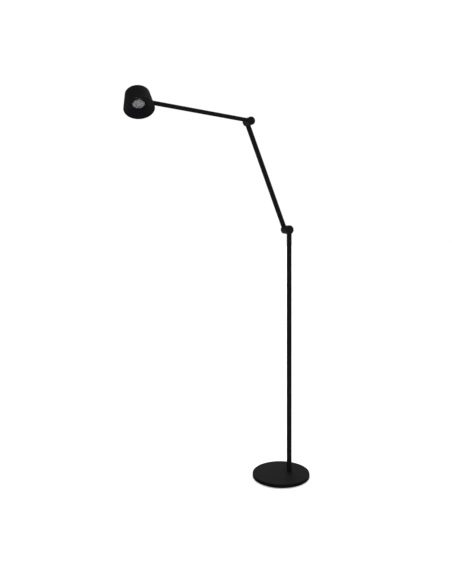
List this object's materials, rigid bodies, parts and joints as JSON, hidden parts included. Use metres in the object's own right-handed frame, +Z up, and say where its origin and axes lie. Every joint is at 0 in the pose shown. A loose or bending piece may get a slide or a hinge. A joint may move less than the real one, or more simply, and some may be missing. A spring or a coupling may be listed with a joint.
{
  "type": "adjustable arm floor lamp",
  "caption": "Floor lamp with a round weighted base, an off-centre stem, hinged arm tubes and a tapered swivelling head that holds a recessed lens.",
  "frame": {"origin": "centre of the round base, on the floor", "axes": "+Z up along the stem; the arms reach towards -X; every hinge axis is parallel to Y"},
  "size_m": [0.8343, 0.25, 1.6413],
  "materials": {
    "steel_tube_coat": "black powder coat, satin",
    "base_coat": "black powder coat, satin",
    "knuckle_coat": "cast aluminium with a black powder coat",
    "head_coat": "spun aluminium with a black powder coat",
    "plug_black": "matte",
    "cast_iron": "as cast",
    "zinc_steel": "bright zinc plate",
    "black_screw_steel": "black oxide",
    "felt": "pressed felt",
    "black_rubber": "matte",
    "lead_sheath": "matte",
    "wire_red": "matte",
    "nylon_black": "matte",
    "cone_black": "deep black, fine matte",
    "clear_lens": "clear, lightly frosted at the back",
    "bright_reflector": "bright, vacuum metallised",
    "board_white": "white solder mask",
    "phosphor": "matte silicone",
    "bare_aluminium": "as cast",
    "switch_black": "matte",
    "collar_black": "black oxide"
  },
  "bodies": {
    "stand": {"floor_pad": "felt", "base_plate": "zinc_steel", "base_plate_screws": "zinc_steel", "base_weight": "cast_iron", "base_cover": "base_coat", "cord_gland": "black_rubber", "stem_nipple": "zinc_steel", "stem_washer": "zinc_steel", "stem_nut": "zinc_steel", "stem_foot_bush": "zinc_steel", "stem_tube": "steel_tube_coat", "stem_lead": "lead_sheath", "stem_knuckle": "knuckle_coat", "stem_knuckle_plug": "plug_black", "shoulder_pivot": "zinc_steel", "shoulder_pressure_washer": "zinc_steel", "shoulder_disc_springs": "zinc_steel", "shoulder_lock_nut": "zinc_steel"},
    "lower_arm": {"shoulder_friction_washer": "nylon_black", "shoulder_stop_pin": "zinc_steel", "lower_arm_foot_knuckle": "knuckle_coat", "lower_arm_foot_plug": "plug_black", "lower_arm_tube": "steel_tube_coat", "lower_arm_lead": "lead_sheath", "lower_arm_top_knuckle": "knuckle_coat", "lower_arm_top_plug": "plug_black", "elbow_friction_washer": "nylon_black", "elbow_stop_pin": "zinc_steel"},
    "upper_arm": {"upper_arm_knuckle": "knuckle_coat", "upper_arm_knuckle_plug": "plug_black", "elbow_pivot": "zinc_steel", "elbow_pressure_washer": "zinc_steel", "elbow_disc_springs": "zinc_steel", "elbow_lock_nut": "zinc_steel", "upper_arm_tube": "steel_tube_coat", "upper_arm_lead": "lead_sheath", "swivel_spindle": "zinc_steel", "swivel_pressure_washer": "zinc_steel", "swivel_disc_springs": "zinc_steel", "swivel_lock_nut": "zinc_steel"},
    "head": {"swivel_friction_washer": "nylon_black", "arm_bush": "nylon_black", "head_shell": "head_coat", "glare_cone": "cone_black", "lens": "clear_lens", "reflector": "bright_reflector", "led_chip": "phosphor", "led_board": "board_white", "heat_sink": "bare_aluminium", "shell_screws": "black_screw_steel", "head_lead": "lead_sheath", "led_wires": "wire_red", "switch_body": "switch_black", "switch_collar": "collar_black", "switch_spring": "zinc_steel"},
    "switch_button": {"switch_button": "switch_black"}
  },
  "joints": [
    {"name": "shoulder_hinge", "type": "hinge", "parent": "stand", "child": "lower_arm", "pos_m": [0.042, 0.0185, 1.083], "axis": [0, -1, 0], "range_deg": [-45, 67.6]},
    {"name": "elbow_hinge", "type": "hinge", "parent": "lower_arm", "child": "upper_arm", "pos_m": [-0.15044, 0.0185, 1.5499], "axis": [0, -1, 0], "range_deg": [-63.3, 71.7]},
    {"name": "head_swivel", "type": "hinge", "parent": "upper_arm", "child": "head", "pos_m": [-0.64504, 0, 1.58709], "axis": [-0.9972, 0, 0.075], "range_deg": [-180, 115]},
    {"name": "switch_press", "type": "slide", "parent": "head", "child": "switch_button", "axis": [-0.0632, -0.5373, -0.841], "range_m": [0, 0.002], "stiffness_N_per_m": 600, "springref_m": -0.002, "deforming": ["switch_spring"]}
  ]
}
